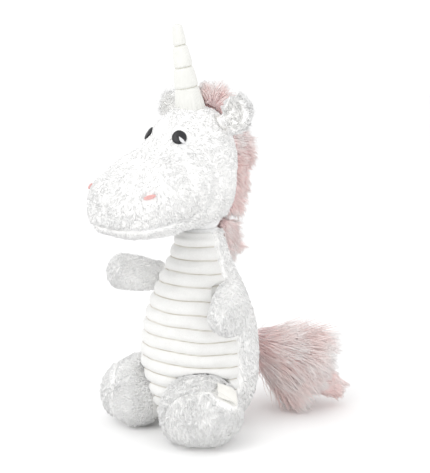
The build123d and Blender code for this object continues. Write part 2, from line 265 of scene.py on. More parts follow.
# ---------------------------------------------------------------- materials
def new_material(name, roughness, sheen=0.0, sheen_colour=(1, 1, 1), specular=0.5):
    material = bpy.data.materials.new(name)
    material.use_nodes = True
    shader = material.node_tree.nodes["Principled BSDF"]
    shader.inputs["Roughness"].default_value = roughness
    shader.inputs["Sheen Weight"].default_value = sheen
    shader.inputs["Sheen Roughness"].default_value = 0.45
    shader.inputs["Sheen Tint"].default_value = (*sheen_colour, 1)
    shader.inputs["Specular IOR Level"].default_value = specular
    return material, material.node_tree, shader


def link(tree, source, target):
    tree.links.new(source, target)


def ramp(tree, factor, stops):
    node = tree.nodes.new("ShaderNodeValToRGB")
    while len(node.color_ramp.elements) < len(stops):
        node.color_ramp.elements.new(0.5)
    for element, (place, colour) in zip(node.color_ramp.elements, stops):
        element.position = place
        element.color = (*colour, 1)
    link(tree, factor, node.inputs["Fac"])
    return node.outputs["Color"]


def mix(tree, factor, first, second, mode="MIX"):
    node = tree.nodes.new("ShaderNodeMix")
    node.data_type = "RGBA"
    node.blend_type = mode
    for socket, value in (("Factor", factor), ("A", first), ("B", second)):
        place = [s for s in node.inputs if s.name == socket and s.enabled][0]
        if isinstance(value, (int, float)):
            place.default_value = value
        elif isinstance(value, tuple):
            place.default_value = (*value, 1)
        else:
            link(tree, value, place)
    return [s for s in node.outputs if s.enabled][0]


def noise_texture(tree, scale, detail=4, roughness=0.6):
    place = tree.nodes.new("ShaderNodeTexCoord")
    node = tree.nodes.new("ShaderNodeTexNoise")
    node.inputs["Scale"].default_value = scale
    node.inputs["Detail"].default_value = detail
    node.inputs["Roughness"].default_value = roughness
    link(tree, place.outputs["Object"], node.inputs["Vector"])
    return node.outputs["Fac"]


def bump(tree, shader, height, strength, distance):
    node = tree.nodes.new("ShaderNodeBump")
    node.inputs["Strength"].default_value = strength
    node.inputs["Distance"].default_value = distance
    link(tree, height, node.inputs["Height"])
    link(tree, node.outputs["Normal"], shader.inputs["Normal"])


def strand_material(name, root, middle, tip, variation=0.06, sheen=0.25, patch=None):
    """Colour runs from root to tip along each strand, and differs a little from strand to strand."""
    material, tree, shader = new_material(name, 0.8, sheen, specular=0.25)
    uv = tree.nodes.new("ShaderNodeUVMap")
    uv.uv_map = "OFBake"
    parts = tree.nodes.new("ShaderNodeSeparateXYZ")
    link(tree, uv.outputs["UV"], parts.inputs["Vector"])
    colour = ramp(tree, parts.outputs["Y"], [(0, root), (0.45, middle), (1, tip)])
    low = 1 - variation
    shade = ramp(tree, parts.outputs["X"], [(0, (low, low, low)), (1, (1, 1, 1))])
    colour = mix(tree, 1.0, colour, shade, "MULTIPLY")
    if patch:
        spots = ramp(tree, noise_texture(tree, 45, 2), [(0.4, (0, 0, 0)), (0.62, (1, 1, 1))])
        colour = mix(tree, spots, colour, mix(tree, 1.0, colour, patch, "MULTIPLY"))
    link(tree, colour, shader.inputs["Base Color"])
    return material


def cloth_material(name, colour, dark, grain=900, height=0.25 * MM, roughness=0.9, sheen=0.3):
    material, tree, shader = new_material(name, roughness, sheen, specular=0.2)
    fine = noise_texture(tree, grain, 5, 0.7)
    broad = noise_texture(tree, 60, 3)
    shade = mix(tree, 0.35, fine, broad)
    link(tree, ramp(tree, shade, [(0.3, dark), (0.62, colour)]), shader.inputs["Base Color"])
    bump(tree, shader, fine, 0.7, height)
    return material


white_root, white_middle, white_tip = (0.965, 0.96, 0.95), (0.985, 0.983, 0.978), (0.992, 0.992, 0.99)
white_strands = strand_material("white_pile", white_root, white_middle, white_tip, 0.03)
long_strands = strand_material("long_white_pile", white_root, white_middle, white_tip, 0.03)
# The grey of the ear lining pile is painted shade inside the ear cup.
ear_lining_shade_strands = strand_material("ear_pile", (0.80, 0.79, 0.76), (0.90, 0.895, 0.88), (0.95, 0.95, 0.94))
# Pink pile: the pink fades to near white at the strand tips, a painted highlight.
pink_strands = strand_material(
    "pink_pile", (0.988, 0.80, 0.80), (0.994, 0.90, 0.885), (0.997, 0.98, 0.97), 0.02, 0.2,
    (0.995, 0.90, 0.89),
)
white_skin = cloth_material("white_backing", (0.97, 0.965, 0.955), (0.92, 0.915, 0.90))
pink_skin = cloth_material("pink_backing", (0.99, 0.84, 0.83), (0.98, 0.76, 0.76), 500)
filling = cloth_material("fibre_filling", (0.86, 0.86, 0.86), (0.7, 0.7, 0.7), 400)
backing = cloth_material("woven_backing", (0.8, 0.78, 0.75), (0.62, 0.6, 0.57), 1500)
pellet_cloth = cloth_material("pellet_bag_cloth", (0.8, 0.79, 0.75), (0.6, 0.59, 0.56), 300)


def ribbed_material():
    material, tree, shader = new_material("ribbed_velour", 0.9, 0.35, specular=0.2)
    groove = tree.nodes.new("ShaderNodeAttribute")
    groove.attribute_name = "groove"
    fine = noise_texture(tree, 1100, 5, 0.75)
    broad = noise_texture(tree, 90, 3)
    shade = mix(tree, 0.4, fine, broad)
    nap = ramp(tree, shade, [(0.3, (0.74, 0.735, 0.72)), (0.62, (0.825, 0.825, 0.812))])
    # Where the rib grooves lie, the colour is darkened to a warm grey: painted shade in the grooves.
    stops = [(0.0, (1, 1, 1)), (0.45, (0.90, 0.88, 0.84)), (1.0, (0.52, 0.46, 0.39))]
    tint = ramp(tree, groove.outputs["Fac"], stops)
    link(tree, mix(tree, 1.0, nap, tint, "MULTIPLY"), shader.inputs["Base Color"])
    bump(tree, shader, fine, 0.8, 0.3 * MM)
    return material


def woven_material(name, colour, dark, threads, roughness=0.6, sheen=0.15):
    """A fine plain weave: two crossed sets of threads."""
    material, tree, shader = new_material(name, roughness, sheen, specular=0.35)
    place = tree.nodes.new("ShaderNodeTexCoord")
    heights = []
    for direction in ("Z", "X"):
        wave = tree.nodes.new("ShaderNodeTexWave")
        wave.bands_direction = direction
        wave.inputs["Scale"].default_value = threads
        wave.inputs["Distortion"].default_value = 1.5
        wave.inputs["Detail"].default_value = 2
        link(tree, place.outputs["Object"], wave.inputs["Vector"])
        heights.append(wave.outputs["Fac"])
    weave = mix(tree, 0.5, heights[0], heights[1])
    broad = noise_texture(tree, 120, 4)
    shade = mix(tree, 0.6, weave, broad)
    link(tree, ramp(tree, shade, [(0.2, dark), (0.7, colour)]), shader.inputs["Base Color"])
    bump(tree, shader, weave, 0.35, 0.12 * MM)
    return material


def thread_material(name, colour, dark, roughness=0.45):
    material, tree, shader = new_material(name, roughness, 0.1, specular=0.45)
    fine = noise_texture(tree, 1500, 3)
    link(tree, ramp(tree, fine, [(0.3, dark), (0.7, colour)]), shader.inputs["Base Color"])
    bump(tree, shader, fine, 0.5, 0.1 * MM)
    return material


ribbed = ribbed_material()
horn_cloth = woven_material("cream_horn_cloth", (0.80, 0.80, 0.77), (0.70, 0.70, 0.665), 900)
ribbon = woven_material("label_ribbon", (0.86, 0.85, 0.81), (0.72, 0.71, 0.67), 700)
horn_thread = thread_material("cream_thread", (0.66, 0.65, 0.56), (0.45, 0.44, 0.36))
eye_thread = thread_material("black_thread", (0.018, 0.018, 0.022), (0.004, 0.004, 0.006), 0.38)
glint_thread = thread_material("white_thread", (0.82, 0.82, 0.83), (0.6, 0.6, 0.62))
nostril_thread = thread_material("pink_thread", (0.80, 0.47, 0.45), (0.62, 0.32, 0.31), 0.5)

for name, node in nodes.items():
    if name.endswith("filling"):
        inner = filling
    elif name == "pellet_bag":
        inner = pellet_cloth
    else:
        inner = backing
    node.data.materials.clear()
    node.data.materials.append(inner)


# ---------------------------------------------------------------- trimming: where no pile grows
def near_point(points, centre, radius):
    return np.linalg.norm(points - centre, axis=1) < radius


def box_centre(name):
    low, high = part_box(name)
    return np.array((low + high) / 2)


def inside_joint(points, name, radius):
    return near_point(points, pivot[name], radius)


patches = {}
for side in SIDES:
    patches[f"{side}_eye"] = 5.7 * MM
    patches[f"{side}_nostril"] = 3.6 * MM


# ---------------------------------------------------------------- head
face_nodes = ["chin_panel", "forehead_gusset", "left_face_panel", "right_face_panel"]
head_verts, head_tris = soft_skin(face_nodes + ["head_filling"], 1.6 * MM, 6, skin_inset)
head_normals = normals_of(head_verts, head_tris)


def chin_seam_distance(points):
    """Height above the seam between the face and the chin, far away behind the jaw."""
    reach = -points[:, 1]
    seam = nod[2] + chin_seam_rise + chin_seam_slope * (muzzle_reach - reach)
    return np.where(reach > chin_back, points[:, 2] - seam, 1.0)


def head_seams(points):
    """Depth from 0 to 1 of the sewn creases of the head."""
    chin = np.exp(-((chin_seam_distance(points) / (1.6 * MM)) ** 2))
    across = np.abs(np.abs(points[:, 0]) - gusset_half_width)
    high = smoothstep(nod[2] + gusset_floor, nod[2] + gusset_floor + 8 * MM, points[:, 2])
    gusset = 0.25 * np.exp(-((across / (1.2 * MM)) ** 2)) * high
    return np.maximum(chin, gusset)


puff = 0.6 * MM * ripple(head_verts, 0.03, 3) - 2.8 * MM * head_seams(head_verts)
head_verts = head_verts + head_normals * puff[:, None]
head_skin = make_object("head_skin", head_verts, head_tris, white_skin)
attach(head_skin, "head")
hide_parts(*face_nodes)
head_surface = BVHTree.FromPolygons(head_verts.tolist(), head_tris.tolist())

roots, up = scatter(head_verts, head_tris, 1.6, 11)
keep = ~near_point(roots, nod, 21.5 * MM)
for side in SIDES:
    keep &= ~inside_joint(roots, f"{side}_ear_flop", 8.5 * MM)
for name, radius in patches.items():
    keep &= ~near_point(roots, box_centre(name), radius)
horn_low, horn_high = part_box("horn_cover")
under_horn = np.hypot(roots[:, 0], roots[:, 1] - (horn_high.y - horn_base_radius)) < 10 * MM
keep &= ~under_horn | (roots[:, 2] < nod[2] + 70 * MM)
roots, up = roots[keep], up[keep]
trim = np.ones(len(roots))
for name, radius in patches.items():
    gap = np.linalg.norm(roots - box_centre(name), axis=1)
    trim *= 0.55 + 0.45 * smoothstep(radius, radius + 4 * MM, gap)
trim *= 1 - 0.7 * head_seams(roots)
flow = np.tile([0.0, 1.0, -0.45], (len(roots), 1))
flow[:, 0] = roots[:, 0] * 6
muzzle = smoothstep(55 * MM, 80 * MM, -roots[:, 1])[:, None]
flow = flow * (1 - muzzle) + muzzle * np.array([0, -0.2, -1.0])
tall = (3.4 + 0.9 * smoothstep(nod[2] + 35 * MM, nod[2], roots[:, 2])) * MM * trim
sorts = {
    "chin_pile": chin_seam_distance(roots) < 0,
    "forehead_pile": (np.abs(roots[:, 0]) < gusset_half_width) & (roots[:, 2] > nod[2] + gusset_floor),
}
rest = ~(sorts["chin_pile"] | sorts["forehead_pile"])
sorts["left_face_pile"] = rest & (roots[:, 0] > 0)
sorts["right_face_pile"] = rest & (roots[:, 0] <= 0)
for seed, (name, chosen) in enumerate(sorts.items()):
    grow(
        name, "head", roots[chosen], up[chosen], flow[chosen], tall[chosen],
        1.0 * MM, 0.42, white_strands, clump=0.28, swirl=0.6, swirl_size=0.04, seed=20 + seed,
    )


# ---------------------------------------------------------------- embroidery
def laid_on(surface, centre, outward, across, outline, height):
    """Grid of points laid on a surface; outline gives the flat point for (radius share, angle)."""
    outward = unit(np.array(outward))
    across = unit(across - outward * np.dot(across, outward))
    aside = np.cross(outward, across)
    points = []
    for flat_x, flat_y, lift in outline:
        start = centre + across * flat_x + aside * flat_y + outward * 0.02
        hit = surface.ray_cast(Vector(start), Vector(-outward))
        base = np.array(hit[0]) if hit[0] is not None else start - outward * 0.02
        points.append(base + outward * (height + lift))
    return np.array(points)


def disc_piece(
    name, body, surface, node, outline_radius, height, dome, material,
    ridges=0.0, across=(0, 0, 1),
):
    """A padded embroidered patch: a shallow dome with rows of stitches, closed underneath."""
    centre = box_centre(node)
    hit = surface.find_nearest(Vector(centre))
    outward = np.array(hit[1])
    rings, spokes = 14, 56
    flat = [(0.0, 0.0, dome)]
    for ring in range(1, rings + 1):
        share = ring / rings
        for spoke in range(spokes):
            angle = 2 * np.pi * spoke / spokes
            x, y = outline_radius(angle)
            x, y = x * share, y * share
            row = ridges * np.sin(2 * np.pi * x / (0.7 * MM))
            flat.append((x, y, dome * (1 - share**4) + row * (1 - share**6)))
    flat += [(x, y, -1.2 * MM) for x, y, lift in flat[-spokes:]]
    points = laid_on(surface, np.array(hit[0]), outward, np.array(across, float), flat, height)
    tri = [(0, 1 + k, 1 + (k + 1) % spokes) for k in range(spokes)]
    for ring in range(rings):
        for k in range(spokes):
            a, b = 1 + ring * spokes + k, 1 + ring * spokes + (k + 1) % spokes
            tri += [(a, a + spokes, b + spokes), (a, b + spokes, b)]
    last = 1 + rings * spokes
    tri += [(last, last + k + 1, last + k) for k in range(1, spokes - 1)]
    piece = make_object(name, points, np.array(tri), material)
    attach(piece, body)
    return piece


def ellipse(half_x, half_y, dx=0.0, dy=0.0, tilt=0.0):
    def at(angle):
        x, y = half_x * cos(angle), half_y * sin(angle)
        return (dx + x * cos(tilt) - y * sin(tilt), dy + x * sin(tilt) + y * cos(tilt))

    return at


for side, sign in SIDES.items():
    eye = disc_piece(
        f"{side}_eye_stitching", "head", head_surface, f"{side}_eye",
        ellipse(5.5 * MM, 5.7 * MM), 1.3 * MM, 0.8 * MM, eye_thread, 0.10 * MM,
    )
    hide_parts(f"{side}_eye")
    ahead = -sign
    disc_piece(
        f"{side}_eye_glint", "head", head_surface, f"{side}_eye",
        ellipse(1.3 * MM, 2.7 * MM, -3.1 * MM, ahead * 2.3 * MM, ahead * 0.75), 1.95 * MM, 0.4 * MM,
        glint_thread, 0.08 * MM,
    )
    nostril = disc_piece(
        f"{side}_nostril_stitching", "head", head_surface, f"{side}_nostril",
        ellipse(1.5 * MM, 4.6 * MM, 0, 0, sign * 0.25), 1.9 * MM, 0.6 * MM, nostril_thread, 0.09 * MM,
    )
    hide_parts(f"{side}_nostril")

# ---------------------------------------------------------------- horn
def grid_faces(rows, turns):
    faces = []
    for row in range(rows - 1):
        a = row * turns + np.arange(turns)
        b = row * turns + (np.arange(turns) + 1) % turns
        faces += [np.c_[a, b, b + turns], np.c_[a, b + turns, a + turns]]
    return np.vstack(faces)


lower_ring = box_centre("lower_horn_stitching")
horn_axis = unit(box_centre("upper_horn_stitching") - lower_ring)
horn_base = lower_ring - horn_axis * ring_levels[0]
horn_taper = (horn_base_radius - horn_tip_radius) / horn_height
across = np.array([1.0, 0, 0])
aside = np.cross(horn_axis, across)
levels, turns = 260, 120
level = np.linspace(-horn_sunk, horn_height, levels)
angle = np.linspace(0, 2 * np.pi, turns, endpoint=False)
grid_level, grid_angle = np.meshgrid(level, angle, indexing="ij")
radius = horn_base_radius - horn_taper * grid_level
rng = np.random.default_rng(7)
bounds = np.r_[-horn_sunk, ring_levels, horn_height + 2 * MM]
for index, (low, high) in enumerate(zip(bounds, bounds[1:])):
    share = np.clip((grid_level - low) / (high - low), 0, 1)
    within = (grid_level >= low) & (grid_level <= high)
    swell = 0.7 * MM * np.sin(np.pi * share) ** 0.6
    pleat = sum(
        np.cos(order * grid_angle + rng.uniform(0, 6)) * rng.uniform(0.4, 1) for order in (11, 17, 23)
    )
    if index == 0:
        depth = 0.22 * MM * (1 - smoothstep(0.35, 0.95, share)) + 0.1 * MM * share**6
    else:
        depth = 0.16 * MM * (0.8 * (1 - share) ** 4 + 0.6 * share**5)
    radius += within * (swell - 0.35 * MM + pleat * depth)
for ring in ring_levels:
    tilt = ring + ring_sway * np.cos(grid_angle)
    radius -= 1.1 * MM * np.exp(-(((grid_level - tilt) / (0.8 * MM)) ** 2))
crown = smoothstep(horn_height - 1.2 * MM, horn_height, grid_level)
radius *= 1 - 0.30 * crown**2
radius -= 0.35 * MM * smoothstep(0, -6 * MM, grid_level)
spoke = across * np.cos(grid_angle)[..., None] + aside * np.sin(grid_angle)[..., None]
spots = horn_base + horn_axis * grid_level[..., None] + radius[..., None] * spoke
ends = [horn_base + horn_axis * (horn_height + 0.1 * MM), horn_base - horn_axis * horn_sunk]
verts = np.vstack([spots.reshape(-1, 3), ends])
faces = [grid_faces(levels, turns)]
top, bottom = levels * turns, levels * turns + 1
a, b = (levels - 1) * turns + np.arange(turns), (levels - 1) * turns + (np.arange(turns) + 1) % turns
faces.append(np.c_[a, b, np.full(turns, top)])
faces.append(np.c_[np.arange(turns), np.full(turns, bottom), (np.arange(turns) + 1) % turns])
horn = make_object("horn_cloth", verts, np.vstack(faces), horn_cloth)
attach(horn, "head")
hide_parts("horn_cover")


def tube(name, points, radius, material, sides=6):
    """A closed loop of thread through these points."""
    count = len(points)
    ahead = unit(np.roll(points, -1, 0) - np.roll(points, 1, 0))
    centre = points.mean(0)
    out = unit(points - centre - ahead * ((points - centre) * ahead).sum(1, keepdims=True))
    over = np.cross(ahead, out)
    turn = np.arange(sides) * 2 * np.pi / sides
    thick = radius * (1 + 0.25 * np.cos(np.arange(count) * 2 * np.pi / 5))[:, None, None]
    ring = out[:, None] * np.cos(turn)[None, :, None] + over[:, None] * np.sin(turn)[None, :, None]
    verts = (points[:, None] + ring * thick).reshape(-1, 3)
    faces = []
    for k in range(sides):
        a = np.arange(count) * sides + k
        b = np.arange(count) * sides + (k + 1) % sides
        c, d = (a + sides) % (count * sides), (b + sides) % (count * sides)
        faces += [np.c_[a, c, d], np.c_[a, d, b]]
    return make_object(name, verts, np.vstack(faces), material)


for name, ring in zip(("lower", "middle", "upper"), ring_levels):
    turn = np.linspace(0, 2 * np.pi, 150, endpoint=False)
    reach = horn_base_radius - horn_taper * ring - 1.25 * MM
    height = ring + ring_sway * np.cos(turn)
    points = (
        horn_base
        + horn_axis * height[:, None]
        + reach * (across * np.cos(turn)[:, None] + aside * np.sin(turn)[:, None])
    )
    thread = tube(f"{name}_horn_thread", points, 0.32 * MM, horn_thread)
    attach(thread, "head")
    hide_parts(f"{name}_horn_stitching")

# ---------------------------------------------------------------- body
body_nodes = ["seat_panel", "belly_panel", "left_back_panel", "right_back_panel"]
panel_verts, panel_tris, start = [], [], 0
for name in body_nodes:
    v, t = read_mesh(nodes[name].data)
    panel_verts.append(v)
    panel_tris.append(t + start)
    start += len(v)
body_cad = BVHTree.FromPolygons(np.vstack(panel_verts).tolist(), np.vstack(panel_tris).tolist())
rows, turns = 230, 420
heights = np.linspace(0.6 * MM, 162 * MM, rows)
angle = np.linspace(0, 2 * np.pi, turns, endpoint=False)
reach = np.empty((rows, turns))
for row, height in enumerate(heights):
    for column, bearing in enumerate(angle):
        outward = Vector((sin(bearing), -cos(bearing), 0))
        hit = body_cad.ray_cast(outward * 0.15 + Vector((0, 0, height)), -outward)
        reach[row, column] = 0.15 - hit[3] if hit[0] is not None else np.nan
for row in range(rows):
    gaps = np.isnan(reach[row])
    if gaps.any() and not gaps.all():
        reach[row, gaps] = np.interp(angle[gaps], angle[~gaps], reach[row, ~gaps])
for _ in range(2):
    reach = (reach * 2 + np.roll(reach, 1, 1) + np.roll(reach, -1, 1)) / 4
grid_height, grid_angle = np.meshgrid(heights, angle, indexing="ij")


body_grid = [reach * np.sin(grid_angle), -reach * np.cos(grid_angle), grid_height]
body_verts = np.stack(body_grid, -1).reshape(-1, 3)
body_tris = grid_faces(rows, turns)
body_normals = normals_of(body_verts, body_tris)
front = smoothstep(1.5 * MM, -2.5 * MM, body_verts[:, 1])
bow = 2.2 * MM * (body_verts[:, 0] / (45 * MM)) ** 2 + 0.55 * MM * ripple(body_verts, 0.05, 9)
place = (body_verts[:, 2] + bow - rib_first) / rib_pitch
phase = place - np.round(place)
fading = smoothstep(rib_first - 5 * MM, rib_first, body_verts[:, 2]) * smoothstep(
    rib_last, rib_last - 4 * MM, body_verts[:, 2]
)
crest = (1 - np.exp(-((np.abs(phase) / 0.16) ** 1.3))) * (0.75 + 0.25 * np.sqrt(np.abs(2 * phase)))
rib = (rib_proud + rib_sunk) * crest - rib_sunk
# Mask of the rib grooves, where painted shade darkens the belly cloth's colour.
groove = np.exp(-((phase / 0.045) ** 2)) * fading * front
seam = np.exp(-(((body_verts[:, 1] + 1 * MM) / (1.3 * MM)) ** 2))
shift = front * fading * (rib + 0.35 * MM * ripple(body_verts, 0.018, 4)) - (1 - front) * skin_inset
shift = shift - 1.5 * MM * seam - front * (1 - fading) * 0.8 * MM
body_verts = body_verts + body_normals * shift[:, None]
body_verts[:, 2] = np.maximum(body_verts[:, 2], 0.4 * MM)
bottom = len(body_verts)
body_verts = np.vstack([body_verts, [[0, 0, 0.4 * MM]], [[0, 0, heights[-1] + 3 * MM]]])
ring = np.arange(turns)
top_row = (rows - 1) * turns
body_tris = np.vstack([
    body_tris,
    np.c_[ring, np.full(turns, bottom), (ring + 1) % turns],
    np.c_[top_row + ring, top_row + (ring + 1) % turns, np.full(turns, bottom + 1)],
])
is_front = body_verts[body_tris].mean(1)[:, 1] < -1 * MM


def part_of(verts, tris, chosen):
    used = np.unique(tris[chosen])
    remap = np.full(len(verts), -1)
    remap[used] = np.arange(len(used))
    return verts[used], remap[tris[chosen]], used


v, t, used = part_of(body_verts, body_tris, is_front)
belly = make_object("belly_cloth", v, t, ribbed)
# The grooves' painted shade goes to the material as a mesh attribute.
shade = belly.data.attributes.new("groove", "FLOAT", "POINT")
shade.data.foreach_set("value", np.r_[groove, 0, 0][used].astype(np.float32))
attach(belly, "body")
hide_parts("belly_panel")
v, t, used = part_of(body_verts, body_tris, ~is_front)
back = make_object("back_skin", v, t, white_skin)
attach(back, "body")
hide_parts("seat_panel", "left_back_panel", "right_back_panel")

roots, up = scatter(v, t, 1.45, 31)
keep = (roots[:, 1] > -0.6 * MM) & (up[:, 2] > -0.75)
keep &= (roots[:, 2] > 1.5 * MM) & (roots[:, 2] < 163 * MM)
limb_room = {
    "left_arm_swing": 13.5, "right_arm_swing": 13.5,
    "left_leg_swing": 28, "right_leg_swing": 28, "tail_wag": 12,
}
for name, radius in limb_room.items():
    keep &= ~inside_joint(roots, name, radius * MM)
roots, up = roots[keep], up[keep]
flow = np.tile([0.0, 0.15, -1.0], (len(roots), 1))
room = np.clip(roots[:, 2] / (6 * MM), 0.25, 1)
edge = 1 - 0.4 * np.exp(-((roots[:, 1] / (2 * MM)) ** 2))
tall = 4.4 * MM * room * edge
for name, chosen in (("left_back_pile", roots[:, 0] > 0), ("right_back_pile", roots[:, 0] <= 0)):
    grow(
        name, "body", roots[chosen], up[chosen], flow[chosen], tall[chosen], 1.0 * MM,
        0.4, white_strands, clump=0.3, swirl=0.5, swirl_size=0.035, seed=40,
    )


# ---------------------------------------------------------------- arms and legs
def limb_axis(name):
    """Unit vector along a limb, from the hinge that it swings about and its own middle."""
    return unit(box_centre(f"{name}_cover") - pivot[f"{name}_swing"])


for side, sign in SIDES.items():
    name = f"{side}_arm"
    root = pivot[f"{name}_swing"]
    verts, tris = soft_skin([f"{name}_cover", f"{name}_filling"], 1.3 * MM, 4, skin_inset)
    verts = verts + normals_of(verts, tris) * (0.5 * MM * ripple(verts, 0.02, 12 + sign))[:, None]
    skin = make_object(f"{name}_skin", verts, tris, white_skin)
    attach(skin, name)
    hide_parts(f"{name}_cover")
    roots, up = scatter(verts, tris, 1.7, 50 + sign)
    axis = limb_axis(name)
    along = (roots - root) @ axis
    outer = np.hypot(roots[:, 0], roots[:, 1])
    keep = (along > -5 * MM) | (outer > 48 * MM)
    roots, up, along = roots[keep], up[keep], along[keep]
    flow = np.tile(axis, (len(roots), 1)) + np.array([0, 0, -0.3])
    tip = smoothstep(20 * MM, 40 * MM, along)[:, None]
    flow = flow * (1 - tip) + tip * np.array([0, 0, -1.0])
    grow(
        f"{name}_pile", name, roots, up, flow, 4.4 * MM, 1.0 * MM, 0.45, white_strands,
        clump=0.3, swirl=0.6, swirl_size=0.03, seed=60 + sign,
    )

label_centre = box_centre("left_foot_label")
for side, sign in SIDES.items():
    name = f"{side}_leg"
    root = pivot[f"{name}_swing"]
    pieces = [f"{name}_cover", f"{name}_sole", f"{name}_filling"]
    verts, tris = soft_skin(pieces, 1.6 * MM, 4, skin_inset)
    axis = unit(np.array([root[0], root[1], 0.0]))
    along = (verts - root) @ axis
    crease = np.exp(-(((along - sole_seam) / (1.4 * MM)) ** 2))
    normals = normals_of(verts, tris)
    hinge = np.array(joints[f"{name}_swing"]["axis"])
    # The root is rounded out to fill its pocket, which is as wide as the foot, all round the hinge
    rounding = 4.0 * MM * smoothstep(15 * MM, 2 * MM, along) * (1 - np.abs(normals @ hinge) ** 2)
    bulge = rounding + 0.6 * MM * ripple(verts, 0.028, 16 + sign) - 1.5 * MM * crease
    verts = verts + normals * bulge[:, None]
    verts[:, 2] = np.maximum(verts[:, 2], 0.5 * MM)
    skin = make_object(f"{name}_skin", verts, tris, white_skin)
    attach(skin, name)
    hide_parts(f"{name}_cover", f"{name}_sole")
    if side == "left":
        leg_surface = BVHTree.FromPolygons(verts.tolist(), tris.tolist())
    roots, up = scatter(verts, tris, 1.6, 70 + sign)
    along = (roots - root) @ axis
    keep = (along > -13 * MM) & (roots[:, 2] > 0.8 * MM) & (up[:, 2] > -0.9)
    roots, up, along = roots[keep], up[keep], along[keep]
    flow = np.tile(axis * 0.5, (len(roots), 1)) + np.array([0, 0, -0.6])
    room = np.clip(roots[:, 2] / (5 * MM), 0.3, 1)
    seam = 1 - 0.35 * np.exp(-(((along - sole_seam) / (2 * MM)) ** 2))
    stand = np.where(roots[:, 2] < 4 * MM, 0.25, 0.5 + 0.5 * smoothstep(6 * MM, -4 * MM, along))
    if side == "left":  # pressed down under the label
        seam *= 0.35 + 0.65 * smoothstep(9 * MM, 13 * MM, np.linalg.norm(roots - label_centre, axis=1))
    grow(
        f"{name}_pile", name, roots, up, flow, 5.0 * MM * room * seam, 0.95 * MM,
        stand, long_strands,
        clump=0.35, swirl=0.8, swirl_size=0.03, seed=80 + sign,
    )

# Label: a blank folded ribbon, closed round its edge
hit = leg_surface.find_nearest(Vector(label_centre))
outward = np.array(hit[1])
columns, lines = 24, 20
flat = []
for line_index in range(lines):
    for column in range(columns):
        x = (column / (columns - 1) - 0.5) * label_width
        y = (line_index / (lines - 1) - 0.5) * label_height
        curl = 0.9 * MM * (0.5 - x / label_width) ** 2 + 0.25 * MM * sin(x / (2.2 * MM))
        flat.append((x, y, curl))
sideways = np.array([cos(radians(leg_bearing)), sin(radians(leg_bearing)), 0])
tops = laid_on(leg_surface, np.array(hit[0]), outward, sideways, flat, 3.4 * MM)
verts = np.vstack([tops, tops - outward * label_thickness])
quads = []
for line_index in range(lines - 1):
    for column in range(columns - 1):
        a = line_index * columns + column
        quads.append((a, a + 1, a + columns + 1, a + columns))
        low = a + columns * lines
        quads.append((low, low + columns, low + columns + 1, low + 1))
total = columns * lines
border = (
    list(range(columns - 1))
    + [columns * k + columns - 1 for k in range(lines - 1)]
    + [total - 1 - k for k in range(columns - 1)]
    + [columns * (lines - 1 - k) for k in range(lines - 1)]
)
for a, b in zip(border, border[1:] + border[:1]):
    quads.append((b, a, a + total, b + total))
label = make_object("foot_label", verts, np.array(quads), ribbon)
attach(label, "left_leg")
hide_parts("left_foot_label")

# ---------------------------------------------------------------- ears
for side, sign in SIDES.items():
    name = f"{side}_ear"
    root = pivot[f"{name}_flop"]
    verts, tris = soft_skin([f"{name}_back", f"{name}_lining"], 1.0 * MM, 3, 0.9 * MM)
    verts = verts + normals_of(verts, tris) * (0.4 * MM * ripple(verts, 0.012, 5))[:, None]
    skin = make_object(f"{name}_skin", verts, tris, white_skin)
    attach(skin, name)
    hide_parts(f"{name}_back", f"{name}_lining")
    roots, up = scatter(verts, tris, 1.5, 90 + sign)
    axis = unit(box_centre(f"{name}_back") - root)
    along = (roots - root) @ axis
    keep = along > 2 * MM
    roots, up, along = roots[keep], up[keep], along[keep]
    # Inside the ear cup the pile takes the grey of painted shade.
    inner = (up[:, 1] < -0.2) & near_point(roots, box_centre(f"{name}_lining"), 11 * MM)
    flow = np.tile(axis, (len(roots), 1)) + 0.5 * unit(roots - box_centre(f"{name}_back"))
    long = np.where(inner, 3.4 * MM, (4.6 * MM + 1.8 * MM * smoothstep(14 * MM, 28 * MM, along)))
    for pile, chosen, material, finish in (
        (f"{name}_pile", ~inner, long_strands, "white_plush"),
        (f"{name}_lining_pile", inner, ear_lining_shade_strands, "ear_velour"),
    ):
        grow(
            pile, name, roots[chosen], up[chosen], flow[chosen], long[chosen], 0.8 * MM, 0.6,
            material, clump=0.5, swirl=0.7, swirl_size=0.015, seed=100 + sign,
        )
    rng = np.random.default_rng(120 + sign)
    stray = rng.choice(np.flatnonzero(along > 16 * MM), 70, replace=False)
    rising = flow[stray] + np.array([0, 0.3, 1.2])
    grow(
        f"{name}_stray_hair", name, roots[stray], up[stray], rising,
        rng.uniform(8, 20, 70) * MM, 0.28 * MM, 0.8, long_strands,
        segments=5, clump=0.3, bend=0.1, swirl=0.9, swirl_size=0.01, seed=130 + sign,
    )

# ---------------------------------------------------------------- mane and tail
verts, tris = soft_skin(["head_mane"], 1.5 * MM, 6, 4.0 * MM)
mane_pad = make_object("mane_pad", verts, tris, pink_skin)
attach(mane_pad, "head")
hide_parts("head_mane")
roots, up = scatter(verts, tris, 1.5, 140)
away = roots - nod
outward = unit(np.c_[np.zeros(len(roots)), away[:, 1], away[:, 2]])
facing = (up * outward).sum(1)
keep = facing > -0.25
roots, up, away, outward = roots[keep], up[keep], away[keep], outward[keep]
down_crest = np.c_[np.zeros(len(roots)), outward[:, 2], -outward[:, 1]]
early = smoothstep(20 * MM, 2 * MM, roots[:, 1])
early = early * smoothstep(nod[2] + 70 * MM, nod[2] + 85 * MM, roots[:, 2])
flow = down_crest + outward * 0.5 - early[:, None] * np.array([0, 1.4, 0])
up = unit(up + outward * 0.5)
tall = (13 + 3 * ripple(roots, 0.02, 8)) * MM
grow(
    "head_mane_pile", "head", roots, up, flow, tall, 0.75 * MM, 0.55 + 0.5 * early,
    pink_strands, segments=4, clump=0.6, bend=0.18, swirl=0.5, swirl_size=0.02, seed=150,
)

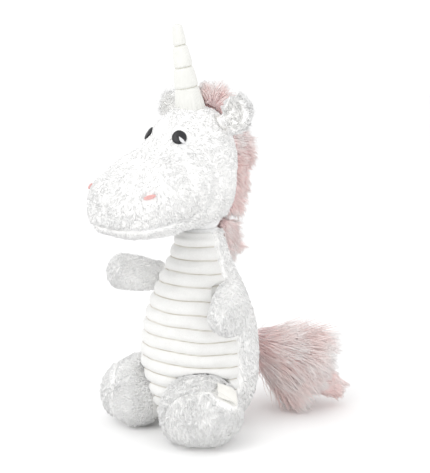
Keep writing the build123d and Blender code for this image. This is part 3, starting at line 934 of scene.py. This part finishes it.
verts, tris = soft_skin(["neck_mane"], 1.2 * MM, 5, 3.0 * MM)
neck_pad = make_object("neck_mane_pad", verts, tris, pink_skin)
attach(neck_pad, "body")
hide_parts("neck_mane")
roots, up = scatter(verts, tris, 1.8, 160)
keep = up[:, 1] > -0.3
roots, up = roots[keep], up[keep]
flow = np.tile([0.0, 0.35, -1.0], (len(roots), 1))
low = smoothstep(132 * MM, 150 * MM, roots[:, 2])
grow(
    "neck_mane_pile", "body", roots, up, flow, (8 + 4 * low) * MM, 0.75 * MM, 0.5,
    pink_strands, segments=4, clump=0.6, bend=0.18, swirl=0.5, swirl_size=0.02, seed=170,
)

tail_root = pivot["tail_wag"]
tail_verts, _ = read_mesh(nodes["tail_pile"].data)
tail_axis = unit(tail_verts[np.linalg.norm(tail_verts - tail_root, axis=1).argmax()] - tail_root)
verts, tris = soft_skin(["tail_pile", "tail_core"], 2.0 * MM, 5, 4.5 * MM)
tail_pad = make_object("tail_pad", verts, tris, pink_skin)
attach(tail_pad, "tail")
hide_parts("tail_pile")
roots, up = scatter(verts, tris, 0.85, 180)
along = (roots - tail_root) @ tail_axis
keep = along > 2 * MM
roots, up, along = roots[keep], up[keep], along[keep]
inward = -(roots - tail_root - along[:, None] * tail_axis) / (26 * MM)
flow = tail_axis + 0.34 * inward
tall = np.clip(82 * MM - along, 14 * MM, 52 * MM) / 1.2
lift = 0.1 + 1.3 * smoothstep(0.3, 0.85, up @ tail_axis)  # at the tail's end it stands straight out
grow(
    "tail_pile_strands", "tail", roots, up, flow, tall, 0.95 * MM, lift, pink_strands,
    segments=5, clump=0.75, bend=0.03, swirl=0.22, swirl_size=0.045, seed=190,
)
# White strands on the tail's upper side: painted highlight on the pink tail.
rng = np.random.default_rng(200)
stray = rng.choice(np.flatnonzero((along < 45 * MM) & (up[:, 2] > 0.1)), 160, replace=False)
rising = flow[stray] + np.array([0, 0, 0.35])
grow(
    "tail_stray_hair", "tail", roots[stray], up[stray], rising,
    rng.uniform(12, 22, 160) * MM, 0.3 * MM, 0.75, long_strands,
    segments=5, clump=0.4, bend=0.15, swirl=0.8, swirl_size=0.02, seed=210,
)

# ---------------------------------------------------------------- floor, light and camera
bpy.ops.mesh.primitive_plane_add(size=6, location=(0, 0, 0))
floor = bpy.context.object
floor.name = "floor"
floor_material, tree, shader = new_material("floor_white", 0.9, specular=0.1)
shade = ramp(tree, noise_texture(tree, 3, 2), [(0, (0.955, 0.955, 0.955)), (1, (0.97, 0.97, 0.97))])
link(tree, shade, shader.inputs["Base Color"])
floor.data.materials.append(floor_material)

world = bpy.data.worlds.new("studio")
world.use_nodes = True
world.node_tree.nodes["Background"].inputs["Color"].default_value = (1, 1, 1, 1)
world.node_tree.nodes["Background"].inputs["Strength"].default_value = 1.06
bpy.context.scene.world = world


def area_light(name, place, aim, size, energy, colour=(1, 1, 1)):
    data = bpy.data.lights.new(name, "AREA")
    data.shape = "SQUARE"
    data.size = size
    data.energy = energy
    data.color = colour
    lamp = bpy.data.objects.new(name, data)
    lamp.location = place
    lamp.rotation_euler = (Vector(aim) - Vector(place)).to_track_quat("-Z", "Y").to_euler()
    bpy.context.scene.collection.objects.link(lamp)
    return lamp


area_light("key", (0.1, -1.2, 1.3), (0, 0, 0.15), 0.9, 7)
area_light("fill", (1.3, 0.2, 0.7), (0, 0, 0.12), 1.0, 2)

turn, tilt = radians(camera_azimuth), radians(camera_elevation)
right = Vector((cos(turn), sin(turn), 0))
towards = Vector((sin(turn) * cos(tilt), -cos(turn) * cos(tilt), sin(tilt)))
target = right * aim_sideways + Vector((0, 0, aim_height))
camera_data = bpy.data.cameras.new("camera")
camera_data.sensor_fit = "HORIZONTAL"
camera_data.sensor_width = 36
camera_data.lens = 36 * focal_pixels / frame_width
camera_data.clip_start, camera_data.clip_end = 0.05, 20
camera = bpy.data.objects.new("camera", camera_data)
camera.location = target + towards * camera_distance
camera.rotation_euler = towards.to_track_quat("Z", "Y").to_euler()
bpy.context.scene.collection.objects.link(camera)
bpy.context.scene.camera = camera
bpy.context.scene.view_settings.view_transform = "Standard"
bpy.context.scene.cycles.diffuse_bounces = pile_bounces
